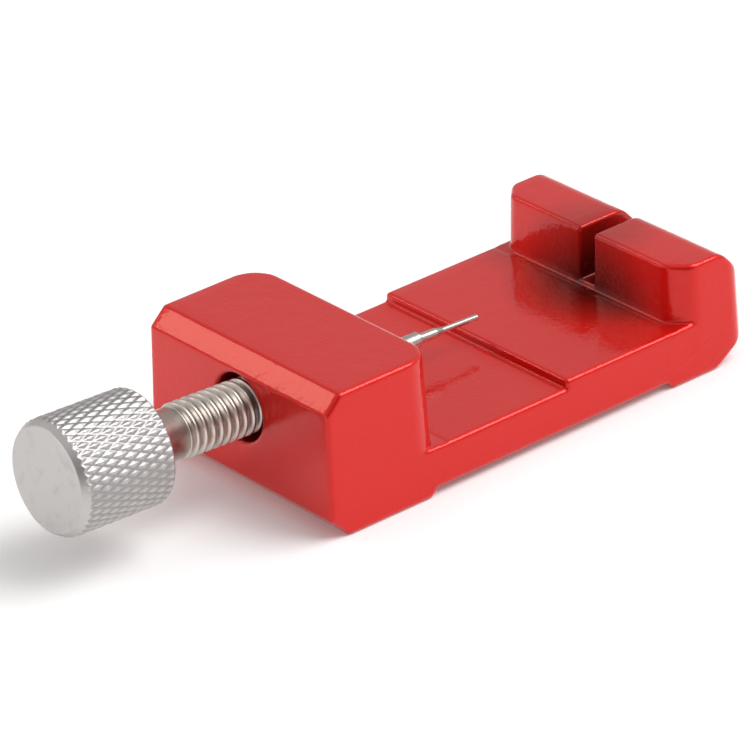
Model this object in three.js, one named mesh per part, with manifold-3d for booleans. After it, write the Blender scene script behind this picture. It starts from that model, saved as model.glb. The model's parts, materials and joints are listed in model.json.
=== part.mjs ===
// Screw press that pushes the link pins out of a watch bracelet.
// Millimetres, +Z up. X runs along the tool from the knob towards the anvil, Y across it.
// Inside the sub-part functions X = 0 is the foot of the head's outer face and Z = 0 is the plane of the feet.
// Lengths along the screw are measured from the same face, towards the anvil.
import * as THREE from 'three';
import { mergeVertices } from 'three/addons/utils/BufferGeometryUtils.js';
import Module from 'manifold-3d';

const wasm = await Module();
wasm.setup();

// Frame block: one casting with draft on every upright wall.
const BLOCK_LENGTH = 56.4;
const BLOCK_WIDTH = 28.5;
const DRAFT = Math.tan(THREE.MathUtils.degToRad(1.6));
const HEAD_LENGTH = 14.8;
const HEAD_HEIGHT = 15.4;
const HEAD_TOP_CHAMFER = 1.8;
const HEAD_BOTTOM_CHAMFER = 2.2;
const LOWER_BED_HEIGHT = 5.25;
const UPPER_BED_HEIGHT = 6.2;
const BED_STEP_X = 30.9;
const ANVIL_FACE_X = 46.15;
const ANVIL_HEIGHT = 12.6;
const ANVIL_TOP_CUT = { along: 3.5, down: 3.9 };
const ANVIL_BOTTOM_CUT = { along: 5.0, up: 3.15 };
const FOOT_HEIGHT = 0.8;
const FOOT_SLOPE = 0.9;
const HEAD_FOOT_END_X = 12.8;
const ANVIL_FOOT_START_X = 45.2;
const HEAD_OUTER_CORNER = 0.6;
const HEAD_INNER_CORNER = 3.4;
const ANVIL_CORNER = 3.6;
const SLOT_WIDTH = 2.1;
const SLOT_FLOOR_HEIGHT = 6.7;

// Screw line: it starts on the head's outer face and dips towards the anvil.
const SCREW_HEIGHT = 9.55;
const SCREW_DIP = THREE.MathUtils.degToRad(2.5);
const CLEARANCE_RADIUS = 3.95;
const CLEARANCE_DEPTH = 4;
const BORE_RADIUS = 3.05;

// Thumb screw: a right-hand 6 mm thread of 1 mm pitch on a rolled shank.
const THREAD_RADIUS = 2.92;
const THREAD_ROOT_RADIUS = 2.36;
const THREAD_PITCH = 1;
const THREAD_START = -8;
const THREAD_END = 16.6;
const SHANK_RADIUS = 2.68;
const SHANK_START = -19.5;
const NOSE_RADIUS = 2.2;
const NOSE_SOCKET_RADIUS = 0.9;
const NOSE_SOCKET_DEPTH = 5;

// Knob.
const KNOB_RADIUS = 6.05;
const KNOB_FRONT = -23.3;
const KNOB_BACK = -12.15;
const KNOB_FRONT_CHAMFER = { along: 0.9, radial: 0.55 };
const KNOB_BACK_CHAMFER = 0.25;
const KNOB_BORE_RADIUS = 2.75;

// Punch: a stepped pin seated in a slim holder.
const HOLDER_RADIUS = 0.8;
const HOLDER_START = 12;
const HOLDER_END = 23.6;
const HOLDER_BORE_RADIUS = 0.56;
const HOLDER_EDGE = 0.12;
const PIN_SHANK_RADIUS = 0.5;
const PIN_SHANK_START = 18.6;
const PIN_SHANK_END = 25.8;
const PIN_TAPER_END = 26.7;
const PIN_TIP_RADIUS = 0.3;
const PIN_END = 31.4;
const PIN_TIP_EDGE = 0.06;

// Room left at the blind end of each socket.
const SOCKET_END_GAP = 0.3;

const ROUND_SEGMENTS = 64;
const PIN_SEGMENTS = 24;
const CORNER_SEGMENTS = 8;
const CORNER_ENTRY = Math.cos(THREE.MathUtils.degToRad(6));
const THREAD_SEGMENTS = 24;
const MARGIN = 1;

// The origin is the centre of the head's foot, on the plane of the feet.
const ORIGIN_X = (HEAD_BOTTOM_CHAMFER + HEAD_FOOT_END_X) / 2;

function toSolid(geometry) {
  const bare = geometry.clone();
  bare.deleteAttribute('normal');
  bare.deleteAttribute('uv');
  const merged = mergeVertices(bare, 1e-5);
  return new wasm.Manifold(new wasm.Mesh({
    numProp: 3,
    vertProperties: new Float32Array(merged.attributes.position.array),
    triVerts: new Uint32Array(merged.index.array),
  }));
}

function toGeometry(solid) {
  const mesh = solid.getMesh();
  const geometry = new THREE.BufferGeometry();
  geometry.setAttribute('position', new THREE.BufferAttribute(mesh.vertProperties, 3));
  geometry.setIndex(new THREE.BufferAttribute(mesh.triVerts, 1));
  geometry.computeVertexNormals();
  return geometry;
}

function makePart(name, geometry, colour, roughness, metalness) {
  const material = new THREE.MeshStandardMaterial({ color: colour, roughness, metalness });
  const mesh = new THREE.Mesh(geometry, material);
  mesh.name = name;
  return mesh;
}

// A closed profile of [length, radius] pairs, turned about the X axis.
function turned(profile, segments) {
  const points = profile.map(([length, radius]) => new THREE.Vector2(radius, length));
  return new THREE.LatheGeometry(points, segments).rotateZ(-Math.PI / 2);
}

function placeOnScrewLine(object) {
  object.position.set(0, 0, SCREW_HEIGHT);
  object.rotation.y = SCREW_DIP;
  object.updateMatrix();
  return object;
}

const lean = (height) => DRAFT * height;

// The block's side view as [x, z] points, with the X walls leaning inwards as they rise.
function blockOutline() {
  const headChamferFoot = HEAD_HEIGHT - HEAD_TOP_CHAMFER;
  const anvilTopEnd = BLOCK_LENGTH - lean(ANVIL_HEIGHT);
  const anvilCutFoot = ANVIL_HEIGHT - ANVIL_TOP_CUT.down;
  return [
    [HEAD_BOTTOM_CHAMFER, 0],
    [HEAD_FOOT_END_X, 0],
    [HEAD_FOOT_END_X + FOOT_SLOPE, FOOT_HEIGHT],
    [ANVIL_FOOT_START_X - FOOT_SLOPE, FOOT_HEIGHT],
    [ANVIL_FOOT_START_X, 0],
    [BLOCK_LENGTH - ANVIL_BOTTOM_CUT.along, 0],
    [BLOCK_LENGTH - lean(ANVIL_BOTTOM_CUT.up), ANVIL_BOTTOM_CUT.up],
    [BLOCK_LENGTH - lean(anvilCutFoot), anvilCutFoot],
    [anvilTopEnd - ANVIL_TOP_CUT.along, ANVIL_HEIGHT],
    [ANVIL_FACE_X + lean(ANVIL_HEIGHT), ANVIL_HEIGHT],
    [ANVIL_FACE_X + lean(UPPER_BED_HEIGHT), UPPER_BED_HEIGHT],
    [BED_STEP_X, UPPER_BED_HEIGHT],
    [BED_STEP_X, LOWER_BED_HEIGHT],
    [HEAD_LENGTH - lean(LOWER_BED_HEIGHT), LOWER_BED_HEIGHT],
    [HEAD_LENGTH - lean(HEAD_HEIGHT), HEAD_HEIGHT],
    [lean(HEAD_HEIGHT) + HEAD_TOP_CHAMFER, HEAD_HEIGHT],
    [lean(headChamferFoot), headChamferFoot],
    [lean(HEAD_BOTTOM_CHAMFER), HEAD_BOTTOM_CHAMFER],
  ];
}

// The side view drawn out across the tool, with the near and far walls leaning inwards.
function blockBlank() {
  const outline = new THREE.Shape(blockOutline().map(([x, z]) => new THREE.Vector2(x, z)));
  const geometry = new THREE.ExtrudeGeometry(outline, { depth: BLOCK_WIDTH, bevelEnabled: false });
  geometry.rotateX(Math.PI / 2).translate(0, BLOCK_WIDTH / 2, 0);
  const position = geometry.attributes.position;
  for (let i = 0; i < position.count; i += 1) {
    const narrowing = 1 - lean(position.getZ(i)) / (BLOCK_WIDTH / 2);
    position.setY(i, position.getY(i) * narrowing);
  }
  return toSolid(geometry);
}

// Removes what lies outside a rounded upright corner. facingX and facingY point out of the corner.
// The arc starts just outside the walls, so the cut crosses each wall at a small angle.
function cornerCutter(cornerX, facingX, facingY, radius, floor) {
  const outside = radius + MARGIN;
  const shape = new THREE.Shape();
  shape.moveTo(0, radius);
  shape.absarc(0, 0, radius, Math.PI / 2, 0, true);
  shape.lineTo(outside, 0);
  shape.lineTo(outside, outside);
  shape.lineTo(0, outside);
  const height = HEAD_HEIGHT + MARGIN - floor;
  const geometry = new THREE.ExtrudeGeometry(shape, {
    depth: height,
    bevelEnabled: false,
    curveSegments: CORNER_SEGMENTS,
  });
  geometry.translate(-radius * CORNER_ENTRY, -radius * CORNER_ENTRY, floor);
  const shear = new THREE.Matrix4().makeShear(0, 0, 0, 0, -DRAFT, -DRAFT);
  geometry.applyMatrix4(shear);
  const mirror = new THREE.Matrix4().makeScale(facingX, facingY, 1);
  geometry.applyMatrix4(mirror);
  geometry.translate(cornerX, facingY * BLOCK_WIDTH / 2, 0);
  if (facingX * facingY < 0) {
    flipFaces(geometry);
  }
  return toSolid(geometry);
}

// Mirroring turns a mesh inside out, and this turns it back.
function flipFaces(geometry) {
  const position = geometry.attributes.position;
  for (let i = 0; i < position.count; i += 3) {
    const first = new THREE.Vector3().fromBufferAttribute(position, i);
    const second = new THREE.Vector3().fromBufferAttribute(position, i + 1);
    position.setXYZ(i, second.x, second.y, second.z);
    position.setXYZ(i + 1, first.x, first.y, first.z);
  }
}

function roundCorners(block) {
  const corners = [
    [0, -1, HEAD_OUTER_CORNER, -MARGIN],
    [HEAD_LENGTH, 1, HEAD_INNER_CORNER, LOWER_BED_HEIGHT],
    [ANVIL_FACE_X, -1, ANVIL_CORNER, UPPER_BED_HEIGHT],
    [BLOCK_LENGTH, 1, ANVIL_CORNER, -MARGIN],
  ];
  let rounded = block;
  for (const [cornerX, facingX, radius, floor] of corners) {
    for (const facingY of [-1, 1]) {
      rounded = rounded.subtract(cornerCutter(cornerX, facingX, facingY, radius, floor));
    }
  }
  return rounded;
}

function slotCutter() {
  const length = BLOCK_LENGTH - ANVIL_FACE_X + 2 * MARGIN;
  const height = ANVIL_HEIGHT - SLOT_FLOOR_HEIGHT + MARGIN;
  const geometry = new THREE.BoxGeometry(length, SLOT_WIDTH, height);
  geometry.translate(ANVIL_FACE_X - MARGIN + length / 2, 0, SLOT_FLOOR_HEIGHT + height / 2);
  return toSolid(geometry);
}

// A wide clearance mouth, then the screw's own bore through to the bracelet space.
function boreCutter() {
  const mouth = HEAD_LENGTH + MARGIN;
  const geometry = turned([
    [-MARGIN, 0],
    [-MARGIN, CLEARANCE_RADIUS],
    [CLEARANCE_DEPTH, CLEARANCE_RADIUS],
    [CLEARANCE_DEPTH, BORE_RADIUS],
    [mouth, BORE_RADIUS],
    [mouth, 0],
  ], ROUND_SEGMENTS);
  return toSolid(geometry.applyMatrix4(placeOnScrewLine(new THREE.Object3D()).matrix));
}

function frameBlock() {
  const solid = roundCorners(blockBlank()).subtract(slotCutter()).subtract(boreCutter());
  return makePart('frame_block', toGeometry(solid), 0xc8201c, 0.22, 0.0);
}

// One pitch of thread as [fraction of the pitch, radius] pairs: root, flank, crest, flank.
const THREAD_FORM = [
  [0, THREAD_ROOT_RADIUS],
  [0.2, THREAD_ROOT_RADIUS],
  [0.53, THREAD_RADIUS],
  [0.67, THREAD_RADIUS],
];

// Where the root line lies after so many steps round: it leaves and meets a plane square to the axis.
function rootLine(step) {
  const advance = (step / THREAD_SEGMENTS - 1) * THREAD_PITCH;
  return THREAD_START + THREE.MathUtils.clamp(advance, 0, THREAD_END - THREAD_START);
}

// The share of the full thread depth, which runs out over the first and the last turn.
function threadDepth(step) {
  return (rootLine(step + THREAD_SEGMENTS) - rootLine(step)) / THREAD_PITCH;
}

function pointOnRing(step, along, radius) {
  const angle = (2 * Math.PI * (step % THREAD_SEGMENTS)) / THREAD_SEGMENTS;
  return [along, radius * Math.cos(angle), radius * Math.sin(angle)];
}

function threadPoint(step, row) {
  if (row === THREAD_FORM.length) {
    return threadPoint(step + THREAD_SEGMENTS, 0);
  }
  const [fraction, formRadius] = THREAD_FORM[row];
  const along = THREE.MathUtils.lerp(rootLine(step), rootLine(step + THREAD_SEGMENTS), fraction);
  const depthBefore = row === 0 ? threadDepth(step - THREAD_SEGMENTS) : 1;
  const depth = Math.min(threadDepth(step), depthBefore);
  const plainRadius = along < (THREAD_START + THREAD_END) / 2 ? SHANK_RADIUS : NOSE_RADIUS;
  return pointOnRing(step, along, THREE.MathUtils.lerp(plainRadius, formRadius, depth));
}

function pushQuad(positions, a, b, c, d) {
  positions.push(...a, ...c, ...b, ...a, ...d, ...c);
}

// The plain stretches of the screw, each pair of [along, radius] rings joined by a band.
function pushBands(positions, rings) {
  for (let i = 0; i + 1 < rings.length; i += 1) {
    for (let step = 0; step < THREAD_SEGMENTS; step += 1) {
      pushQuad(
        positions,
        pointOnRing(step, ...rings[i]),
        pointOnRing(step, ...rings[i + 1]),
        pointOnRing(step + 1, ...rings[i + 1]),
        pointOnRing(step + 1, ...rings[i]),
      );
    }
  }
}

// Thread strips, row by row along one helix from the shank to the nose.
function pushThread(positions) {
  const turns = (THREAD_END - THREAD_START) / THREAD_PITCH + 1;
  const steps = Math.ceil(turns * THREAD_SEGMENTS);
  for (let step = 0; step < steps; step += 1) {
    for (let row = 0; row < THREAD_FORM.length; row += 1) {
      pushQuad(
        positions,
        threadPoint(step, row),
        threadPoint(step, row + 1),
        threadPoint(step + 1, row + 1),
        threadPoint(step + 1, row),
      );
    }
  }
}

// Merges the shared corners and leaves out the triangles that close up to a line.
function closedGeometry(positions) {
  const loose = new THREE.BufferGeometry();
  loose.setAttribute('position', new THREE.Float32BufferAttribute(positions, 3));
  const merged = mergeVertices(loose, 1e-5);
  const corners = merged.index.array;
  const kept = [];
  for (let i = 0; i < corners.length; i += 3) {
    const [a, b, c] = corners.slice(i, i + 3);
    if (a !== b && b !== c && c !== a) {
      kept.push(a, b, c);
    }
  }
  merged.setIndex(kept);
  merged.computeVertexNormals();
  return merged;
}

function thumbScrew() {
  const socketStart = THREAD_END - NOSE_SOCKET_DEPTH;
  const positions = [];
  pushBands(positions, [[SHANK_START, 0], [SHANK_START, SHANK_RADIUS], [THREAD_START, SHANK_RADIUS]]);
  pushThread(positions);
  pushBands(positions, [
    [THREAD_END, NOSE_RADIUS],
    [THREAD_END, NOSE_SOCKET_RADIUS],
    [socketStart, NOSE_SOCKET_RADIUS],
    [socketStart, 0],
  ]);
  return makePart('thumb_screw', closedGeometry(positions), 0xa8a29c, 0.32, 1.0);
}

function knurledKnob() {
  const boreEnd = SHANK_START - SOCKET_END_GAP;
  const profile = [
    [KNOB_FRONT, 0],
    [KNOB_FRONT, KNOB_RADIUS - KNOB_FRONT_CHAMFER.radial],
    [KNOB_FRONT + KNOB_FRONT_CHAMFER.along, KNOB_RADIUS],
    [KNOB_BACK - KNOB_BACK_CHAMFER, KNOB_RADIUS],
    [KNOB_BACK, KNOB_RADIUS - KNOB_BACK_CHAMFER],
    [KNOB_BACK, KNOB_BORE_RADIUS],
    [boreEnd, KNOB_BORE_RADIUS],
    [boreEnd, 0],
  ];
  return makePart('knurled_knob', turned(profile, ROUND_SEGMENTS), 0xd8d6d4, 0.35, 1.0);
}

function punchHolder() {
  const boreEnd = PIN_SHANK_START - SOCKET_END_GAP;
  const profile = [
    [HOLDER_START, 0],
    [HOLDER_START, HOLDER_RADIUS],
    [HOLDER_END - HOLDER_EDGE, HOLDER_RADIUS],
    [HOLDER_END, HOLDER_RADIUS - HOLDER_EDGE],
    [HOLDER_END, HOLDER_BORE_RADIUS],
    [boreEnd, HOLDER_BORE_RADIUS],
    [boreEnd, 0],
  ];
  return makePart('punch_holder', turned(profile, PIN_SEGMENTS), 0xb4aea8, 0.3, 1.0);
}

function punchPin() {
  const profile = [
    [PIN_SHANK_START, 0],
    [PIN_SHANK_START, PIN_SHANK_RADIUS],
    [PIN_SHANK_END, PIN_SHANK_RADIUS],
    [PIN_TAPER_END, PIN_TIP_RADIUS],
    [PIN_END - PIN_TIP_EDGE, PIN_TIP_RADIUS],
    [PIN_END, PIN_TIP_RADIUS - PIN_TIP_EDGE],
    [PIN_END, 0],
  ];
  return makePart('punch_pin', turned(profile, PIN_SEGMENTS), 0xc4beb8, 0.28, 1.0);
}

const screwLine = placeOnScrewLine(new THREE.Group());
screwLine.add(thumbScrew(), knurledKnob(), punchHolder(), punchPin());

const tool = new THREE.Group();
tool.add(frameBlock(), screwLine);
tool.position.x = -ORIGIN_X;
tool.updateMatrixWorld(true);

export default tool;
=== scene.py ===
import json
import math

import bmesh
import bpy
import numpy as np
from mathutils import Matrix, Vector
from mathutils.bvhtree import BVHTree


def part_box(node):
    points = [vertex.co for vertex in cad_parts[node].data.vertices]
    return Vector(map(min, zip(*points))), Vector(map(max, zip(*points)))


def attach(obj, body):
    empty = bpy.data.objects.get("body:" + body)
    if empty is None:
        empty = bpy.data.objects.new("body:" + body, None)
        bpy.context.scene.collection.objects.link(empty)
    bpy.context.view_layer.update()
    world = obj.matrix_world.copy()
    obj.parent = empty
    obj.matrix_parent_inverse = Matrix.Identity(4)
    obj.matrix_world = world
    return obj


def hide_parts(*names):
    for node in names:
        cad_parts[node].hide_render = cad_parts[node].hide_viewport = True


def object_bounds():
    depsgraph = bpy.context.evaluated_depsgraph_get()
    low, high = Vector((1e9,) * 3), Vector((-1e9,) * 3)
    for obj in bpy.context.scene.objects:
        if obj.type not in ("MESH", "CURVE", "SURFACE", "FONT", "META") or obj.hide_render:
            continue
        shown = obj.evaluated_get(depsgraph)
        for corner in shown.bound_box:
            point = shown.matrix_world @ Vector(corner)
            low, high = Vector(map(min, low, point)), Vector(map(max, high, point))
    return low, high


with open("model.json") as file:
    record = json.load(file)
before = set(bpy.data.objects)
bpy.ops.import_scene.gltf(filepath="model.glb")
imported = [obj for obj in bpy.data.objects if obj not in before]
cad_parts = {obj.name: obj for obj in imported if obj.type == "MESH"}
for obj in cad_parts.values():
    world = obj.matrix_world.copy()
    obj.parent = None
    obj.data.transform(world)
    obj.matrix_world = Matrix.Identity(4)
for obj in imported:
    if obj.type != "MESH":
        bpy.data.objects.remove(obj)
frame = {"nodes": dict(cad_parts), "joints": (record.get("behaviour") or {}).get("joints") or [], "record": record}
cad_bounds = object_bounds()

MM = 0.001

# Camera: where it stands round the object's middle, and how its picture is framed.
CAMERA_AZIMUTH = math.radians(-38.85)
CAMERA_ELEVATION = math.radians(27.54)
CAMERA_ROLL = math.radians(-3.08)
CAMERA_DISTANCE = 564.1 * MM
CAMERA_AIM_RIGHT = 1.09 * MM
CAMERA_AIM_DOWN = 1.01 * MM
SENSOR_WIDTH = 36.0
LENS_IN_SENSOR_WIDTHS = 7.5377

# Measuring: how far a ray reaches, how far rays and cutting shapes pass an edge, the smallest step worth a
# ring, how close points have to be to be one, and the sine of a bend that is no corner.
RAY_REACH = 50 * MM
PAST_EDGE = 1 * MM
RING_STEP = 0.01 * MM
CAD_WELD = 0.002 * MM
THREAD_WELD = 0.0005 * MM
OUTLINE_WELD = 0.03 * MM
STRAIGHT_BEND = 0.01

# Where the casting is measured: shares of its half width and its length, and for each leaning wall two
# heights as shares of the bed's height beside it. The last two are lengths along the screw's line.
BESIDE_BORE = 0.42
UPPER_BED_AT = 0.6
LOWER_BED_AT = 0.35
SIDE_HEIGHTS = (0.2, 0.8)
HEAD_WALL_HEIGHTS = (1.2, 2.0)
HEAD_FACE_HEIGHTS = (1.0, 2.0)
ANVIL_WALL_HEIGHTS = (1.1, 1.6)
END_WALL_HEIGHTS = (0.6, 1.0)
MOUTH_AT = 2 * MM
BORE_AT = 8 * MM

# Painted casting: the grid it is worked out on, its softened edges and corners, and its flats.
GRID_CELL = 0.2 * MM
GRID_MARGIN = 0.6 * MM
EDGE_RADIUS = 0.4 * MM
SIDE_EDGE_RADIUS = 0.52 * MM
INNER_EDGE_RADIUS = 0.22 * MM
END_EDGE_RADIUS = 2.4 * MM
END_LENGTH = 6 * MM
SLOT_EDGE_RADIUS = 0.3 * MM
MOUTH_LIP_RADIUS = 0.38 * MM
HEAD_INNER_CORNER = 2.0 * MM
HEAD_CORNER_SOFTNESS = 2.6 * MM
ANVIL_CORNER = 2.1 * MM
ANVIL_CORNER_SOFTNESS = 1.3 * MM
CORNER_ROOM = 0.48
SMALLEST_SLOPE = 1e-12
MOST_ALIKE = 0.99999
FILLET_STEPS = 10
FLAT_ANGLE = math.radians(0.25)
FLAT_TILE = 3 * MM
TILES_IN_A_ROW = 1000

# Lumps of paint on the hole's lower rim: their size, how far they lie behind the head's face in lumps, where
# they start and how fast they grow below the screw's line, and the waves round the hole that vary them, each
# with its count, height and start.
PAINT_LUMP = 0.33 * MM
LUMP_FILLET = 0.1 * MM
LUMP_SINK = 1.2
LUMP_START = 0.35
LUMP_GROWTH = 2
LUMP_LIMITS = (-0.5, 1.3)
LUMP_MEAN = 0.6
LUMP_WAVES = ((11, 0.3, 0), (17, 0.25, 1))

# Turned pieces, the knob's knurl, and the screw's thread and socket.
TURNED_SEGMENTS = 64
TURNED_EDGE = 0.05 * MM
KNOB_EDGE = 0.28 * MM
KNURL_COUNT = 42
KNURL_LENGTH = 2.27 * MM
KNURL_DEPTH = 0.2 * MM
KNURL_FLAT = 0.22
KNURL_COLUMNS = 8
KNURL_ROWS = 16
THREAD_SEGMENTS = 60
THREAD_ROWS = 10
CREST_AT = 0.6
CREST_HALF_WIDTH = 0.13
FLANK_WIDTH = 0.3
FLANK_STRAIGHTNESS = 0.35
SOCKET_FIT = 1.1
SOCKET_GAP = 0.3 * MM

# Paint: its colours from darkest to clean, dirt with painted shade round the slot's foot, painted shade
# in the bore, the arcs an end mill left, and the unevenness of the lacquer. Places are lengths back from
# the casting's end and shares of its height, and breaks are the levels of noise between which the dirt
# and painted shade give way.
# The two darker reds stand for dirt and painted shade; the last is the paint's own red.
SHADE_AND_DIRT_RED = (0.16, 0.009, 0.006)
MIDDLE_SHADE_AND_DIRT_RED = (0.38, 0.011, 0.007)
CLEAN_RED = (0.66, 0.012, 0.008)
SLOT_DIRT_AND_SHADE_BACK = 9 * MM
SLOT_DIRT_AND_SHADE_HEIGHT = 0.4
SLOT_DIRT_AND_SHADE_REACH = (2 * MM, 10 * MM)
SLOT_DIRT_AND_SHADE_SPOT = 0.8 * MM
SLOT_DIRT_AND_SHADE_BREAKS = (0.5, 0.95)
BORE_SHADE_RADII = (3.4 * MM, 3.6 * MM)
BORE_SHADE_LENGTHS = (9 * MM, 10 * MM)
MILL_CENTRE_BACK = 15 * MM
MILL_CENTRE_ABOVE = 8 * MM
MILLED_BACK = 6 * MM
MILLED_HEIGHT = 0.3
MILLED_REACH = (11 * MM, 5 * MM)
MILL_PITCH = 0.3 * MM
MILL_DEPTH = 0.03 * MM
WAVE_SIZE = 2.2 * MM
WAVE_DEPTH = 0.035 * MM
PEEL_SIZE = 0.4 * MM
PEEL_DEPTH = 0.02 * MM

# Metals: the colour of their grooves, darkened as painted shade, and of their soiled spots, the colour of
# their clean metal, and their roughness. The painted shade gives way between two radii from the screw's
# line, or for the knob between two depths in its knurl.
ROLLED_STEEL = ((0.13, 0.10, 0.08), (0.66, 0.61, 0.56), 0.34)
BRIGHT_STEEL = ((0.26, 0.24, 0.22), (0.44, 0.41, 0.38), 0.33)
SATIN_ALUMINIUM = ((0.38, 0.365, 0.36), (0.54, 0.52, 0.51), 0.44)
# Radii, or knurl depths, over which the painted shade fades out of the grooves.
THREAD_ROOT_SHADE = (2.35 * MM, 2.62 * MM)
PUNCH_GROOVE_SHADE = (0.0, 0.2 * MM)
KNURL_GROOVE_SHADE = (0.8 * KNURL_DEPTH, 0.2 * KNURL_DEPTH)
CLEAN_FADE = 0.05 * MM
SOIL_SIZE = 1.6 * MM
SOIL_BREAKS = (0.0, 0.6)
GRAIN_SIZE = 0.12 * MM
TURNING_PITCH = 0.08 * MM
METAL_MARK_DEPTH = 0.0015 * MM

# Floor and light. Each softbox has a name, a place, a point it is aimed at, a size, a power and a colour.
FLOOR_REACH = 3.0
FLOOR_DARKER = (0.87, 0.87, 0.87)
FLOOR_LIGHTER = (0.9, 0.9, 0.9)
FLOOR_BLOTCH = 0.3
FLOOR_GLOW = 0.1
WHITE = (1, 1, 1)
TENT_BRIGHTNESS = 0.62
TENT_OPENING_DIMMING = 0.2
TENT_OPENING = (-0.5, -0.72, 0.4)
TENT_OPENING_ANGLE = math.radians(18)
TENT_OPENING_SOFT_EDGE = math.radians(42)
SOFTBOXES = [
    ("key", (0.42, -0.38, 0.83), (0.01, 0, 0), (0.7, 0.7), 8.2, WHITE),
    ("side", (-0.5, 0.22, 0.1), (0, 0, 0.01), (0.3, 0.16), 0.3, WHITE),
    ("behind_left", (-0.46, 0.70, 0.55), (0, 0, 0.01), (0.2, 0.24), 0.6, (1, 0.86, 0.7)),
]


# ---------------------------------------------------------------- measuring the CAD

def cad_mesh(node):
    """A welded copy of a CAD node's mesh, as a bmesh."""
    mesh = bmesh.new()
    mesh.from_mesh(frame["nodes"][node].data)
    bmesh.ops.remove_doubles(mesh, verts=mesh.verts, dist=CAD_WELD)
    return mesh


def cad_tree(node):
    mesh = cad_mesh(node)
    tree = BVHTree.FromBMesh(mesh)
    mesh.free()
    return tree


def ray(tree, start, direction):
    """Where a ray from start first meets the solid."""
    return tree.ray_cast(Vector(start), Vector(direction).normalized(), RAY_REACH)[0]


def screw_line():
    """A point on the screw's line, and its direction with two directions square to it."""
    joint = next(j for j in frame["joints"] if j["name"] == "screw_turn")
    along = Vector(joint["axis"]).normalized()
    across = Vector((0, 1, 0))
    return Vector(joint["pos_m"]), along, across, along.cross(across)


LINE_START, ALONG, ACROSS, ABOVE = screw_line()


def on_line(along, angle=0.0, radius=0.0):
    """The point at a length along the screw's line, an angle round it and a radius from it."""
    outwards = ACROSS * math.cos(angle) + ABOVE * math.sin(angle)
    return LINE_START + ALONG * float(along) + outwards * float(radius)


def place_on_line(point):
    """A point's length along the screw's line, and its distance from the line."""
    offset = point - LINE_START
    along = offset.dot(ALONG)
    return along, (offset - along * ALONG).length


def lengths_on_line(node):
    """The distinct lengths along the screw's line at which a CAD node has corners."""
    lengths = sorted(place_on_line(v.co)[0] for v in frame["nodes"][node].data.vertices)
    distinct = lengths[:1]
    for length in lengths:
        if length - distinct[-1] > RING_STEP:
            distinct.append(length)
    return distinct


def outer_radius(tree, along):
    return place_on_line(ray(tree, on_line(along, 0, RAY_REACH / 2), -ACROSS))[1]


def outer_profile(node):
    """The outside of a turned CAD node, as (along, radius) pairs from its start to its end."""
    tree = cad_tree(node)
    lengths = lengths_on_line(node)
    profile = []
    for length in lengths:
        for side in (-RING_STEP, RING_STEP):
            if lengths[0] < length + side < lengths[-1]:
                profile.append((length + side, outer_radius(tree, length + side)))
    return [(lengths[0], profile[0][1])] + profile[1:-1] + [(lengths[-1], profile[-1][1])]


# ---------------------------------------------------------------- outlines

def cross(first, second):
    return first[0] * second[1] - first[1] * second[0]


def side_outline():
    """The casting's side view, [x, z] points anticlockwise round a cut beside the bore and the slot."""
    mesh = cad_mesh("frame_block")
    everything = mesh.verts[:] + mesh.edges[:] + mesh.faces[:]
    cut_y = BESIDE_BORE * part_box("frame_block")[1].y
    cut = bmesh.ops.bisect_plane(mesh, geom=everything, plane_co=(0, cut_y, 0), plane_no=(0, 1, 0))
    edges = [e for e in cut["geom_cut"] if isinstance(e, bmesh.types.BMEdge)]
    links = {}
    for edge in edges:
        first, second = edge.verts
        links.setdefault(first, []).append(second)
        links.setdefault(second, []).append(first)
    loop = [edges[0].verts[0]]
    following = edges[0].verts[1]
    while following is not loop[0]:
        loop.append(following)
        following = next(v for v in links[following] if v is not loop[-2])
    points = without_straight_points([np.array((v.co.x, v.co.z)) for v in loop])
    mesh.free()
    area = sum(cross(points[i - 1], point) for i, point in enumerate(points))
    return points if area > 0 else points[::-1]


def without_straight_points(points):
    kept = []
    for i, point in enumerate(points):
        before = point - points[i - 1]
        after = points[(i + 1) % len(points)] - point
        if abs(cross(before, after)) > STRAIGHT_BEND * np.linalg.norm(before) * np.linalg.norm(after):
            kept.append(point)
    return kept


def without_close_points(points):
    kept = [points[0]]
    for point in points[1:]:
        if np.linalg.norm(point - kept[-1]) > OUTLINE_WELD:
            kept.append(point)
    return kept


def rounded(points, radius_at, closed=True):
    """The outline with its corners made arcs, smaller where the sides next to them are short.

    radius_at(corner, turn) gives an arc's radius. turn is the arc's angle, above 0 at the hollow corners of
    an anticlockwise outline.
    """
    result = []
    for i, corner in enumerate(points):
        if closed or 0 < i < len(points) - 1:
            result += corner_arc(points[i - 1], corner, points[(i + 1) % len(points)], radius_at)
        else:
            result.append(corner)
    return result


def corner_arc(last, corner, following, radius_at):
    to_last, to_next = last - corner, following - corner
    room = CORNER_ROOM * min(np.linalg.norm(to_last), np.linalg.norm(to_next))
    last_way = to_last / np.linalg.norm(to_last)
    next_way = to_next / np.linalg.norm(to_next)
    half = math.acos(np.clip(last_way @ next_way, -1, 1)) / 2
    turn = math.copysign(math.pi - 2 * half, cross(last_way, next_way))
    setback = min(room, radius_at(corner, turn) / math.tan(half))
    inwards = (last_way + next_way) / np.linalg.norm(last_way + next_way)
    middle = corner + inwards * setback / math.cos(half)
    x, y = corner + last_way * setback - middle
    arc = []
    for step in range(FILLET_STEPS + 1):
        angle = -turn * step / FILLET_STEPS
        cos, sin = math.cos(angle), math.sin(angle)
        arc.append(middle + np.array((cos * x - sin * y, sin * x + cos * y)))
    return arc


# ---------------------------------------------------------------- the casting as a distance field

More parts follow.
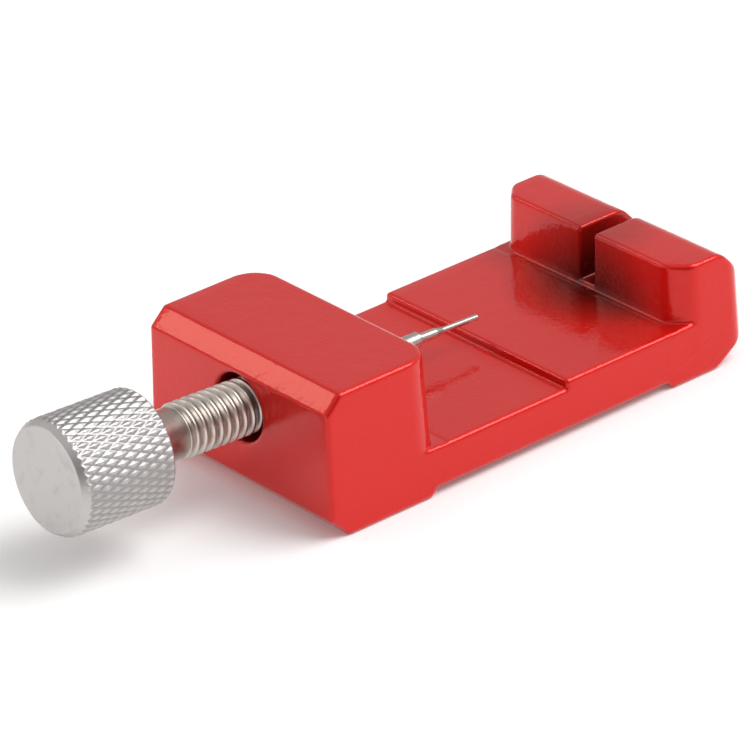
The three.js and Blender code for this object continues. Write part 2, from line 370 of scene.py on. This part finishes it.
def outline_distance(outline, x, z):
    """Signed distance in the XZ plane from a closed outline, negative inside."""
    nearest = np.full(np.broadcast(x, z).shape, np.inf)
    inside = np.zeros(nearest.shape, bool)
    for i, end in enumerate(outline):
        start = outline[i - 1]
        side = end - start
        along_x, along_z = x - start[0], z - start[1]
        share = np.clip((along_x * side[0] + along_z * side[1]) / (side @ side), 0, 1)
        nearest = np.minimum(nearest, np.hypot(along_x - share * side[0], along_z - share * side[1]))
        if start[1] != end[1]:
            crosses = (start[1] > z) != (end[1] > z)
            inside ^= crosses & (along_x < side[0] * along_z / side[1])
    return np.where(inside, -nearest, nearest)


def cut_back(a, b, radius):
    """What two solids share, its new edge rounded, and left plain where their faces run together."""
    slope_a, slope_b = np.gradient(a), np.gradient(b)
    dot = sum(p * q for p, q in zip(slope_a, slope_b))
    size = np.sqrt(sum(p * p for p in slope_a) * sum(q * q for q in slope_b)) + SMALLEST_SLOPE
    alike = np.clip(dot / size, 0, MOST_ALIKE)
    setback = radius * np.sqrt((1 - alike) / (1 + alike))
    corner = np.hypot(np.maximum(a + setback, 0), np.maximum(b + setback, 0))
    return np.minimum(np.maximum(a, b), -setback) + corner


def built_up(a, b, radius):
    """Two solids joined, with a fillet where they meet."""
    return -cut_back(-a, -b, radius)


def straight_line(value_at, first, second):
    """The linear function through a measured value at two heights."""
    slope = (value_at(second) - value_at(first)) / (second - first)
    start = value_at(first) - slope * first
    return lambda z: start + slope * z


class Casting:
    """The casting's sizes, measured on its CAD node, and the solids it is put together from.

    Each solid is a signed distance over a grid of places, negative inside.
    """

    def __init__(self, x, y, z):
        self.x, self.y, self.z = x, y, z
        self.tree = cad_tree("frame_block")
        self.low, self.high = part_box("frame_block")
        upper_x, lower_x = self.at_share(UPPER_BED_AT), self.at_share(LOWER_BED_AT)
        self.upper_bed = self.height_at(upper_x, BESIDE_BORE * self.high.y)
        self.lower_bed = self.height_at(lower_x, BESIDE_BORE * self.high.y)
        self.half_width = straight_line(
            lambda height: ray(self.tree, (upper_x, RAY_REACH / 2, height), (0, -1, 0)).y,
            *(share * self.upper_bed for share in SIDE_HEIGHTS))
        self.head_face = self.wall(self.low.x - RAY_REACH / 2, 1, self.upper_bed, HEAD_FACE_HEIGHTS)
        self.head_wall = self.wall(lower_x, -1, self.lower_bed, HEAD_WALL_HEIGHTS)
        self.anvil_wall = self.wall(upper_x, 1, self.upper_bed, ANVIL_WALL_HEIGHTS)
        self.end_wall = self.wall(self.high.x + RAY_REACH / 2, -1, self.upper_bed, END_WALL_HEIGHTS)
        self.mouth_radius = self.bore_radius_at(MOUTH_AT)
        self.bore_radius = self.bore_radius_at(BORE_AT)
        offset_x, offset_z = x - LINE_START.x, z - LINE_START.z
        self.along = self.everywhere(offset_x * ALONG.x + offset_z * ALONG.z)
        self.above = self.everywhere(offset_x * ABOVE.x + offset_z * ABOVE.z)
        self.from_line = np.hypot(self.above, y)

    def everywhere(self, distance):
        """A distance that depends on one or two of x, y and z, spread over the whole grid."""
        return np.broadcast_to(distance, np.broadcast(self.x, self.y, self.z).shape)

    def at_share(self, share):
        return self.low.x + share * (self.high.x - self.low.x)

    def height_at(self, x, y):
        return ray(self.tree, (x, y, self.high.z + PAST_EDGE), (0, 0, -1)).z

    def wall(self, start_x, towards, bed, shares):
        """A leaning wall's x at any height, from rays along x at two shares of a bed's height."""
        def wall_x(height):
            return ray(self.tree, (start_x, BESIDE_BORE * self.high.y, height), (towards, 0, 0)).x
        return straight_line(wall_x, *(share * bed for share in shares))

    def bore_radius_at(self, along):
        return (ray(self.tree, on_line(along), ABOVE) - on_line(along)).length

    def side_view(self):
        def radius_at(corner, turn):
            if turn > 0:
                return INNER_EDGE_RADIUS
            return END_EDGE_RADIUS if corner[0] > self.high.x - END_LENGTH else EDGE_RADIUS
        outline = rounded(side_outline(), radius_at)
        return self.everywhere(outline_distance(outline, self.x, self.z))

    def walls(self):
        """The space between the leaning sides, without the corners cut off the head and the anvil."""
        past_side = self.everywhere(np.abs(self.y) - self.half_width(self.z))
        corners = [
            (1, self.head_wall, HEAD_INNER_CORNER, HEAD_CORNER_SOFTNESS, self.lower_bed),
            (-1, self.anvil_wall, ANVIL_CORNER, ANVIL_CORNER_SOFTNESS, self.upper_bed),
            (1, self.end_wall, ANVIL_CORNER, ANVIL_CORNER_SOFTNESS, None),
        ]
        walls = past_side
        for facing, wall, leg, softness, bed in corners:
            past_wall = self.everywhere(facing * (self.x - wall(self.z)))
            diagonal = (past_wall + past_side + leg) * math.sqrt(0.5)
            plan = cut_back(np.maximum(past_wall, past_side), diagonal, softness)
            if bed is not None:
                plan = built_up(plan, self.everywhere(self.z - bed), INNER_EDGE_RADIUS)
                plan = np.minimum(plan, EDGE_RADIUS - past_wall)
            walls = cut_back(walls, plan, EDGE_RADIUS)
        return walls

    def slot(self):
        """The slot through the anvil."""
        face = self.anvil_wall(self.upper_bed)
        middle = (face + self.high.x) / 2
        floor = self.height_at(middle, 0)
        half = ray(self.tree, (middle, 0, floor + PAST_EDGE), (0, 1, 0)).y
        slot = np.maximum(self.everywhere(np.abs(self.y) - half), floor - self.z)
        return np.maximum(slot, face - PAST_EDGE - self.x)

    def hole(self):
        """The bore through the head with its wide mouth, smaller by the lip that is rounded off it."""
        between = (self.mouth_radius + self.bore_radius) / 2
        shoulder_point = ray(self.tree, on_line(-PAST_EDGE, math.pi / 2, between), ALONG)
        shoulder = place_on_line(shoulder_point)[0]
        mouth = np.maximum(self.from_line - self.mouth_radius + MOUTH_LIP_RADIUS, self.along - shoulder)
        hole = np.minimum(mouth, self.from_line - self.bore_radius)
        return np.maximum(hole, self.x - self.head_wall(0) - PAST_EDGE)

    def paint_lumps(self):
        """Uneven lumps of paint on the lower rim of the hole's mouth."""
        angle = np.arctan2(self.y, self.above)
        unevenness = LUMP_MEAN + sum(
            height * np.sin(count * angle + start) for count, height, start in LUMP_WAVES)
        below = -self.above / self.mouth_radius
        size = PAINT_LUMP * unevenness * np.clip(LUMP_GROWTH * (below - LUMP_START), *LUMP_LIMITS)
        from_rim = self.from_line - self.mouth_radius + PAINT_LUMP / 2
        behind_face = self.x - self.head_face(self.z) - LUMP_SINK * PAINT_LUMP
        return np.hypot(from_rim, behind_face) - size

    def whole(self):
        """The casting with its slot and its hole cut out and its lumps of paint added."""
        body = cut_back(self.side_view(), self.walls(), SIDE_EDGE_RADIUS)
        body = cut_back(body, -self.slot(), SLOT_EDGE_RADIUS)
        body = cut_back(body, -self.hole(), MOUTH_LIP_RADIUS)
        return built_up(body, self.paint_lumps(), LUMP_FILLET)


CELL_CORNERS = np.array([(i, j, k) for i in (0, 1) for j in (0, 1) for k in (0, 1)])
CELL_EDGES = [(a, b) for a in range(8) for b in range(a + 1, 8)
              if np.abs(CELL_CORNERS[a] - CELL_CORNERS[b]).sum() == 1]


def at_corners(values, cells):
    return np.stack([values[tuple((cells + corner).T)] for corner in CELL_CORNERS], 1)


def surface_of(field):
    """Surface nets: one point in each cell that the surface passes through, joined by quads."""
    inside = field < 0
    length, width, height = np.array(field.shape) - 1
    count = sum(
        inside[i:i + length, j:j + width, k:k + height].astype(np.int8) for i, j, k in CELL_CORNERS)
    active = (count > 0) & (count < 8)
    cells = np.argwhere(active)
    number = np.full(active.shape, -1)
    number[active] = np.arange(len(cells))
    return points_in(cells, at_corners(field, cells)), quads_between(inside, number)


def points_in(cells, values):
    """The middle of the places where the surface crosses each cell's edges."""
    total = np.zeros((len(cells), 3))
    crossings = np.zeros(len(cells))
    for a, b in CELL_EDGES:
        crosses = (values[:, a] < 0) != (values[:, b] < 0)
        share = np.where(crosses, values[:, a] / np.where(crosses, values[:, a] - values[:, b], 1), 0)
        point = CELL_CORNERS[a] + share[:, None] * (CELL_CORNERS[b] - CELL_CORNERS[a])
        total += crosses[:, None] * point
        crossings += crosses
    return cells + total / crossings[:, None]


def quads_between(inside, number):
    """A quad round each grid edge that the surface crosses, through its four cells' numbered points."""
    quads = []
    for axis in range(3):
        second, third = np.eye(3, dtype=int)[[(axis + 1) % 3, (axis + 2) % 3]]
        before = np.take(inside, range(inside.shape[axis] - 1), axis)
        after = np.take(inside, range(1, inside.shape[axis]), axis)
        edges = np.argwhere(before != after)
        ring = [edges - second - third, edges - third, edges, edges - second]
        quad = np.stack([number[tuple(cell.T)] for cell in ring], 1)
        outward = before[tuple(edges.T)]
        quads.append(np.where(outward[:, None], quad, quad[:, ::-1]))
    return np.concatenate(quads)


def slope_at(field, points):
    """The field's direction of steepest rise at points given in cells."""
    cells = np.clip(points.astype(int), 0, np.array(field.shape) - 2)
    part = points - cells
    weights = np.prod(np.where(CELL_CORNERS[None], part[:, None], 1 - part[:, None]), 2)
    slope = np.stack([(at_corners(g, cells) * weights).sum(1) for g in np.gradient(field)], 1)
    return slope / np.linalg.norm(slope, axis=1, keepdims=True)


# ---------------------------------------------------------------- pieces

def new_piece(name, points, faces, material, body, replaced):
    mesh = bpy.data.meshes.new(name)
    mesh.from_pydata([tuple(p) for p in points], [], faces)
    mesh.validate()
    mesh.shade_smooth()
    piece = bpy.data.objects.new(name, mesh)
    bpy.context.scene.collection.objects.link(piece)
    mesh.materials.append(material)
    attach(piece, body)
    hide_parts(replaced)
    return piece


def painted_casting(material):
    low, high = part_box("frame_block")
    start = np.array(low) - GRID_MARGIN
    counts = np.ceil((np.array(high) + GRID_MARGIN - start) / GRID_CELL).astype(int)
    steps = np.ogrid[tuple(slice(0, n + 1) for n in counts)]
    x, y, z = (first + GRID_CELL * step for first, step in zip(start, steps))
    field = Casting(x, y, z).whole()
    points, quads = surface_of(field)
    piece = new_piece("painted_casting", start + GRID_CELL * points, quads.tolist(), material,
                      "frame", "frame_block")
    mark_tiles(piece.data)
    flatten = piece.modifiers.new("flats", "DECIMATE")
    flatten.decimate_type = "DISSOLVE"
    flatten.angle_limit = FLAT_ANGLE
    flatten.delimit = {"SEAM"}
    evaluated = piece.evaluated_get(bpy.context.evaluated_depsgraph_get())
    flattened = bpy.data.meshes.new_from_object(evaluated)
    piece.modifiers.clear()
    piece.data = flattened
    corners = np.array([v.co for v in flattened.vertices])
    flattened.normals_split_custom_set_from_vertices(slope_at(field, (corners - start) / GRID_CELL))


def mark_tiles(mesh):
    """Seams between tiles of space in a mesh of quads, so that a flat dissolves quickly, tile by tile."""
    centres = np.array([face.center for face in mesh.polygons])
    tile = np.floor(centres / FLAT_TILE).astype(int) @ np.array((1, TILES_IN_A_ROW, TILES_IN_A_ROW ** 2))
    edge_of_loop = np.zeros(len(mesh.loops), int)
    mesh.loops.foreach_get("edge_index", edge_of_loop)
    tile_of_loop = np.repeat(tile, 4)
    lowest = np.full(len(mesh.edges), tile.max())
    highest = np.full(len(mesh.edges), tile.min())
    np.minimum.at(lowest, edge_of_loop, tile_of_loop)
    np.maximum.at(highest, edge_of_loop, tile_of_loop)
    mesh.edges.foreach_set("use_seam", lowest != highest)


def softened_profile(node, radius):
    """A turned CAD node's outside down to the line at both ends, its corners made arcs."""
    profile = outer_profile(node)
    outline = [np.array(p) for p in [(profile[0][0], 0.0), *profile, (profile[-1][0], 0.0)]]
    return rounded(without_close_points(outline), lambda corner, turn: radius, closed=False)


def turned_piece(name, material, node):
    """A closed solid turned about the screw's line, which rides on the punch."""
    rings = softened_profile(node, TURNED_EDGE)
    angles = [math.tau * k / TURNED_SEGMENTS for k in range(TURNED_SEGMENTS)]
    points = [on_line(rings[0][0])]
    points += [on_line(along, angle, radius) for along, radius in rings[1:-1] for angle in angles]
    points.append(on_line(rings[-1][0]))
    faces = closed_rings(len(rings) - 2, TURNED_SEGMENTS)
    new_piece(name, points, faces, material, "punch", node)


def closed_rings(rings, columns):
    """Faces of a stack of rings, point 0 closing its start and the last point its end."""
    def point(ring, column):
        return 1 + ring * columns + column % columns
    last = 1 + rings * columns
    faces = [(0, point(0, k + 1), point(0, k)) for k in range(columns)]
    for ring in range(rings - 1):
        for k in range(columns):
            faces.append((point(ring, k), point(ring, k + 1), point(ring + 1, k + 1), point(ring + 1, k)))
    faces += [(point(rings - 1, k), point(rings - 1, k + 1), last) for k in range(columns)]
    return faces


def knurled_band():
    """The knob's full radius, and the lengths along the line where it starts and ends."""
    profile = outer_profile("knurled_knob")
    full_radius = max(radius for _, radius in profile)
    lengths = [length for length, radius in profile if radius > full_radius - RING_STEP]
    return full_radius, lengths[0], lengths[-1]


def ridge(position):
    """0 along a knurl's raised diamond, rising to 1 in the groove beside it."""
    from_groove = abs(position % 1.0 - 0.5) * 2
    return max(0.0, from_groove - KNURL_FLAT) / (1 - KNURL_FLAT)


def knurl_depth(along, angle):
    turn = KNURL_COUNT * angle / math.tau
    length = along / KNURL_LENGTH
    return KNURL_DEPTH * max(ridge(turn + length), ridge(turn - length))


def knob_rings():
    """The knob's (along, radius) rings, close together wherever the knurl may reach them."""
    full_radius, band_start, band_end = knurled_band()
    spacing = KNURL_LENGTH / KNURL_ROWS
    edge = softened_profile("knurled_knob", KNOB_EDGE)
    front = [tuple(p) for p in edge if p[0] < band_start and p[1] > 0]
    back = [tuple(p) for p in edge if p[0] > band_end and p[1] > 0]
    rows = int((band_end - band_start) / spacing)
    band = [(band_start + spacing * row, full_radius) for row in range(rows + 1)]
    bevel = []
    for (first, low), (second, high) in zip(front, front[1:] + band[:1]):
        parts = max(1, int((second - first) / (spacing / 2)))
        shares = [k / parts for k in range(parts)]
        bevel += [(first + (second - first) * share, low + (high - low) * share) for share in shares]
    return bevel + band + back


def knurled_knob(material):
    full_radius = knurled_band()[0]
    lengths = lengths_on_line("knurled_knob")
    rings = knob_rings()
    columns = KNURL_COUNT * KNURL_COLUMNS
    points = [on_line(lengths[0])]
    for along, radius in rings:
        for k in range(columns):
            angle = math.tau * k / columns
            points.append(on_line(along, angle, min(radius, full_radius - knurl_depth(along, angle))))
    points.append(on_line(lengths[-1]))
    faces = closed_rings(len(rings), columns)
    new_piece("knurled_knob_turned", points, faces, material, "screw", "knurled_knob")


def thread_height(fraction):
    """The thread's height at a fraction of its pitch, 0 in the root and 1 on the rolled crest."""
    from_crest = abs((fraction - CREST_AT + 0.5) % 1.0 - 0.5)
    rise = min(1.0, max(0.0, (CREST_HALF_WIDTH + FLANK_WIDTH - from_crest) / FLANK_WIDTH))
    smooth_rise = rise * rise * (3 - 2 * rise)
    return FLANK_STRAIGHTNESS * rise + (1 - FLANK_STRAIGHTNESS) * smooth_rise


class Screw:
    """The thumb screw's sizes, measured on its CAD node, and the points of its thread.

    The thread is a grid of points: steps run round the line and rows run along it over one pitch.
    """

    def __init__(self):
        lengths = lengths_on_line("thumb_screw")
        self.start, self.thread_start, self.end = lengths[0], lengths[1], lengths[-1]
        places = [place_on_line(v.co) for v in frame["nodes"]["thumb_screw"].data.vertices]
        threaded = [radius for along, radius in places if 0 < along < self.end / 2]
        self.root, self.crest = min(threaded), max(threaded)
        self.neck = outer_radius(cad_tree("thumb_screw"), (self.start + self.thread_start) / 2)
        self.nose = self.root - 2 * TURNED_EDGE
        self.pitch = frame["record"]["behaviour"]["couplings"][0]["ratio"] * math.tau
        self.steps = math.ceil(((self.end - self.thread_start) / self.pitch + 1) * THREAD_SEGMENTS)

    def root_at(self, step):
        """The length along the line of the thread's root, which stays put past either end of the thread."""
        advance = (step / THREAD_SEGMENTS - 1) * self.pitch
        return self.thread_start + min(max(advance, 0), self.end - self.thread_start)

    def thread_point(self, step, row):
        if row == THREAD_ROWS:
            return self.thread_point(step + THREAD_SEGMENTS, 0)
        low, high = self.root_at(step), self.root_at(step + THREAD_SEGMENTS)
        depth = (high - low) / self.pitch
        if row == 0:
            depth = min(depth, (low - self.root_at(step - THREAD_SEGMENTS)) / self.pitch)
        along = low + (high - low) * row / THREAD_ROWS
        plain = self.neck if along < (self.thread_start + self.end) / 2 else self.nose
        full = self.root + (self.crest - self.root) * thread_height(row / THREAD_ROWS)
        angle = math.tau * (step % THREAD_SEGMENTS) / THREAD_SEGMENTS
        return on_line(along, angle, plain + (full - plain) * depth)

    def thread_quads(self):
        quads = []
        for step in range(self.steps):
            for row in range(THREAD_ROWS):
                quads.append((self.thread_point(step, row), self.thread_point(step + 1, row),
                              self.thread_point(step + 1, row + 1), self.thread_point(step, row + 1)))
        return quads


def band_quads(rings):
    """Quads that join each (along, radius) ring to the next."""
    quads = []
    for (low, low_radius), (high, high_radius) in zip(rings, rings[1:]):
        for k in range(THREAD_SEGMENTS):
            first = math.tau * k / THREAD_SEGMENTS
            second = math.tau * (k + 1) / THREAD_SEGMENTS
            quads.append((on_line(low, first, low_radius), on_line(low, second, low_radius),
                          on_line(high, second, high_radius), on_line(high, first, high_radius)))
    return quads


def rolled_screw(material):
    screw = Screw()
    socket = SOCKET_FIT * outer_radius(cad_tree("punch_holder"), screw.end - PAST_EDGE)
    socket_foot = lengths_on_line("punch_holder")[0] - SOCKET_GAP
    neck = [(screw.start, 0), (screw.start, screw.neck), (screw.thread_start, screw.neck)]
    nose = [(screw.end, screw.nose), (screw.end, socket), (socket_foot, socket), (socket_foot, 0)]
    mesh = bmesh.new()
    for quad in band_quads(neck) + screw.thread_quads() + band_quads(nose):
        mesh.faces.new([mesh.verts.new(point) for point in quad])
    bmesh.ops.remove_doubles(mesh, verts=mesh.verts, dist=THREAD_WELD)
    points = [v.co.copy() for v in mesh.verts]
    faces = [[v.index for v in face.verts] for face in mesh.faces]
    mesh.free()
    new_piece("rolled_screw", points, faces, material, "screw", "thumb_screw")


def build_pieces():
    knob_radius, knurl_start, _ = knurled_band()
    thread_start = lengths_on_line("thumb_screw")[1]
    # Radii in the knurl over which its painted groove shade fades out.
    knurl_groove_shade = [knob_radius - depth for depth in KNURL_GROOVE_SHADE]
    steel = metal_material("rolled_steel", ROLLED_STEEL, THREAD_ROOT_SHADE, thread_start)
    bright = metal_material("bright_steel", BRIGHT_STEEL, PUNCH_GROOVE_SHADE, knurl_start)
    aluminium = metal_material("satin_aluminium", SATIN_ALUMINIUM, knurl_groove_shade, knurl_start)
    painted_casting(paint_material())
    knurled_knob(aluminium)
    turned_piece("punch_holder_turned", bright, "punch_holder")
    turned_piece("punch_pin_turned", bright, "punch_pin")
    rolled_screw(steel)


# ---------------------------------------------------------------- materials

class Nodes:
    """A material's node tree, with short ways to add and join its nodes."""

    def __init__(self, name):
        self.material = bpy.data.materials.new(name)
        self.material.use_nodes = True
        self.tree = self.material.node_tree
        self.shader = self.tree.nodes["Principled BSDF"]
        self.place = self.tree.nodes.new("ShaderNodeTexCoord").outputs["Object"]

    def add(self, kind, **values):
        node = self.tree.nodes.new(kind)
        for name, value in values.items():
            if name in node.inputs:
                node.inputs[name].default_value = value
            else:
                setattr(node, name, value)
        return node

    def join(self, output, node, socket):
        self.tree.links.new(output, node.inputs[socket])
        return node

    def noise(self, size, detail=2.0):
        """Noise whose blotches are about this many metres across."""
        node = self.add("ShaderNodeTexNoise", Scale=1 / size, Detail=detail)
        return self.join(self.place, node, "Vector").outputs["Fac"]

    def vector_math(self, operation, vector, constant=None):
        node = self.add("ShaderNodeVectorMath", operation=operation)
        if constant is not None:
            node.inputs[1].default_value = constant
        return self.join(vector, node, 0)

    def line_offset(self):
        return self.vector_math("SUBTRACT", self.place, LINE_START).outputs["Vector"]

    def from_line(self):
        """The distance from the screw's line, in metres."""
        square_offset = self.vector_math("CROSS_PRODUCT", self.line_offset(), ALONG)
        return self.vector_math("LENGTH", square_offset.outputs["Vector"]).outputs["Value"]

    def along_line(self):
        """The length along the screw's line, in metres."""
        return self.vector_math("DOT_PRODUCT", self.line_offset(), ALONG).outputs["Value"]

    def distance_from(self, point):
        return self.vector_math("DISTANCE", self.place, point).outputs["Value"]

    def share(self, value, low, high):
        """0 where the value is low, 1 where it is high."""
        node = self.add("ShaderNodeMapRange", **{"From Min": low, "From Max": high})
        return self.join(value, node, "Value").outputs["Result"]

    def larger(self, first, second):
        node = self.add("ShaderNodeMath", operation="MAXIMUM")
        self.join(first, node, 0)
        return self.join(second, node, 1).outputs["Value"]

    def times(self, first, second):
        node = self.add("ShaderNodeMath", operation="MULTIPLY")
        self.join(first, node, 0)
        return self.join(second, node, 1).outputs["Value"]

    def stripes(self, distance, width):
        """Tool marks: noise that changes only with a distance."""
        node = self.add("ShaderNodeTexNoise", noise_dimensions="1D", Scale=1 / width, Detail=3.0)
        return self.join(distance, node, "W").outputs["Fac"]

    def ramp(self, factor, stops):
        node = self.add("ShaderNodeValToRGB")
        elements = node.color_ramp.elements
        while len(elements) < len(stops):
            elements.new(0.5)
        for element, (position, colour) in zip(elements, stops):
            element.position = position
            element.color = (*colour, 1)
        return self.join(factor, node, "Fac").outputs["Color"]

    def bump(self, height, depth, below=None):
        node = self.add("ShaderNodeBump", Distance=depth, Strength=1.0)
        if below is not None:
            self.join(below, node, "Normal")
        return self.join(height, node, "Height").outputs["Normal"]


def paint_material():
    """A red metallic base under clear lacquer, so that red faces look darker where they mirror each other."""
    nodes = Nodes("red_gloss_paint")
    nodes.join(paint_tone(nodes), nodes.shader, "Base Color")
    surface = paint_surface(nodes)
    nodes.join(surface, nodes.shader, "Normal")
    nodes.join(surface, nodes.shader, "Coat Normal")
    constants = {
        "Metallic": 0.55, "Roughness": 0.42, "Specular IOR Level": 0.0,
        "Coat Weight": 1.0, "Coat Roughness": 0.02, "Coat IOR": 1.38}
    for socket, value in constants.items():
        nodes.shader.inputs[socket].default_value = value
    return nodes.material


def paint_tone(nodes):
    """Red; dirt and painted shade in patches at the slot's foot; painted shade all through the bore."""
    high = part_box("frame_block")[1]
    slot_foot = (high.x - SLOT_DIRT_AND_SHADE_BACK, 0, SLOT_DIRT_AND_SHADE_HEIGHT * high.z)
    # Dirt with painted shade: the red darkens in noisy patches near the slot's foot.
    unmarked = nodes.share(nodes.distance_from(slot_foot), *SLOT_DIRT_AND_SHADE_REACH)
    patchy = nodes.larger(unmarked, nodes.share(nodes.noise(SLOT_DIRT_AND_SHADE_SPOT, 5.0), *SLOT_DIRT_AND_SHADE_BREAKS))
    # Painted shade: the red is darkest all through the bore.
    outside_bore = nodes.larger(nodes.share(nodes.from_line(), *BORE_SHADE_RADII),
                                nodes.share(nodes.along_line(), *BORE_SHADE_LENGTHS))
    stops = [(0.0, SHADE_AND_DIRT_RED), (0.5, MIDDLE_SHADE_AND_DIRT_RED), (1.0, CLEAN_RED)]
    return nodes.ramp(nodes.times(patchy, outside_bore), stops)


def paint_surface(nodes):
    """The lacquer's normal: milled arcs near the anvil's near side, long waves and fine orange peel."""
    low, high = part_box("frame_block")
    mill_centre = (high.x - MILL_CENTRE_BACK, low.y, high.z + MILL_CENTRE_ABOVE)
    milled_place = (high.x - MILLED_BACK, low.y, MILLED_HEIGHT * high.z)
    milled = nodes.share(nodes.distance_from(milled_place), *MILLED_REACH)
    arcs = nodes.stripes(nodes.distance_from(mill_centre), MILL_PITCH)
    marks = nodes.bump(nodes.times(arcs, milled), MILL_DEPTH)
    waves = nodes.bump(nodes.noise(WAVE_SIZE), WAVE_DEPTH, marks)
    return nodes.bump(nodes.noise(PEEL_SIZE), PEEL_DEPTH, waves)


def metal_material(name, metal, groove_shade_radii, clean_before):
    """Turned metal with painted shade in its grooves, darkest at the first radius from the screw's line and
    gone from the second one outwards, and with soiled spots from noise.

    Ahead of clean_before, a length along the line, it has no grooves and gets no painted shade.
    """
    shaded_and_soiled, unmarked, roughness = metal
    nodes = Nodes(name)
    # Painted shade: the metal darkens towards its groove roots, by radius from the screw's line.
    height = nodes.share(nodes.from_line(), *groove_shade_radii)
    ahead = nodes.share(nodes.along_line(), clean_before + CLEAN_FADE, clean_before)
    spots = nodes.share(nodes.noise(SOIL_SIZE, 4.0), *SOIL_BREAKS)
    shade_and_soil = nodes.times(nodes.larger(height, ahead), spots)
    nodes.join(nodes.ramp(shade_and_soil, [(0.0, shaded_and_soiled), (0.75, unmarked)]), nodes.shader, "Base Color")
    nodes.shader.inputs["Metallic"].default_value = 1.0
    nodes.shader.inputs["Roughness"].default_value = roughness
    grain = nodes.bump(nodes.noise(GRAIN_SIZE), METAL_MARK_DEPTH)
    turned = nodes.bump(nodes.stripes(nodes.from_line(), TURNING_PITCH), METAL_MARK_DEPTH, grain)
    nodes.join(turned, nodes.shader, "Normal")
    return nodes.material


# ---------------------------------------------------------------- camera, floor and light

def add_camera():
    low, high = cad_bounds
    back = Vector((
        math.sin(CAMERA_AZIMUTH) * math.cos(CAMERA_ELEVATION),
        -math.cos(CAMERA_AZIMUTH) * math.cos(CAMERA_ELEVATION),
        math.sin(CAMERA_ELEVATION)))
    level = back.to_track_quat("Z", "Y").to_matrix()
    turn = level @ Matrix.Rotation(CAMERA_ROLL, 3, "Z")
    right, up = turn.col[0], turn.col[1]
    data = bpy.data.cameras.new("camera")
    data.sensor_width = SENSOR_WIDTH
    data.lens = LENS_IN_SENSOR_WIDTHS * SENSOR_WIDTH
    data.clip_start, data.clip_end = 10 * MM, 10
    camera = bpy.data.objects.new("camera", data)
    camera.matrix_world = turn.to_4x4()
    camera.location = ((low + high) / 2 + back * CAMERA_DISTANCE
                       + right * CAMERA_AIM_RIGHT - up * CAMERA_AIM_DOWN)
    bpy.context.scene.collection.objects.link(camera)
    bpy.context.scene.camera = camera


def add_floor():
    corners = [(FLOOR_REACH * x, FLOOR_REACH * y, 0) for x, y in ((-1, -1), (1, -1), (1, 1), (-1, 1))]
    mesh = bpy.data.meshes.new("floor")
    mesh.from_pydata(corners, [], [(0, 1, 2, 3)])
    floor = bpy.data.objects.new("floor", mesh)
    bpy.context.scene.collection.objects.link(floor)
    nodes = Nodes("floor_white")
    tone = nodes.ramp(nodes.noise(FLOOR_BLOTCH), [(0.0, FLOOR_DARKER), (1.0, FLOOR_LIGHTER)])
    nodes.join(tone, nodes.shader, "Base Color")
    nodes.shader.inputs["Roughness"].default_value = 0.9
    nodes.shader.inputs["Emission Color"].default_value = (*WHITE, 1)
    nodes.shader.inputs["Emission Strength"].default_value = FLOOR_GLOW
    mesh.materials.append(nodes.material)


def add_softbox(name, place, aim, size, power, colour):
    data = bpy.data.lights.new(name, "AREA")
    data.shape = "RECTANGLE"
    data.size, data.size_y = size
    data.energy = power
    data.color = colour
    light = bpy.data.objects.new(name, data)
    light.location = place
    light.rotation_mode = "QUATERNION"
    light.rotation_quaternion = (Vector(place) - Vector(aim)).to_track_quat("Z", "Y")
    bpy.context.scene.collection.objects.link(light)


def add_tent():
    """A white tent all round, dimmer where its open side would be."""
    world = bpy.data.worlds.new("tent")
    bpy.context.scene.world = world
    world.use_nodes = True
    tree = world.node_tree
    direction = tree.nodes.new("ShaderNodeTexCoord").outputs["Generated"]
    towards = tree.nodes.new("ShaderNodeVectorMath")
    towards.operation = "DOT_PRODUCT"
    towards.inputs[1].default_value = Vector(TENT_OPENING).normalized()
    tree.links.new(direction, towards.inputs[0])
    dimming = tree.nodes.new("ShaderNodeMapRange")
    dimming.inputs["From Min"].default_value = math.cos(TENT_OPENING_SOFT_EDGE)
    dimming.inputs["From Max"].default_value = math.cos(TENT_OPENING_ANGLE)
    dimming.inputs["To Min"].default_value = TENT_BRIGHTNESS
    dimming.inputs["To Max"].default_value = TENT_OPENING_DIMMING * TENT_BRIGHTNESS
    tree.links.new(towards.outputs["Value"], dimming.inputs["Value"])
    background = tree.nodes["Background"]
    background.inputs["Color"].default_value = (*WHITE, 1)
    tree.links.new(dimming.outputs["Result"], background.inputs["Strength"])


add_camera()
add_floor()
add_tent()
for softbox in SOFTBOXES:
    add_softbox(*softbox)
bpy.context.scene.view_settings.view_transform = "Standard"
build_pieces()
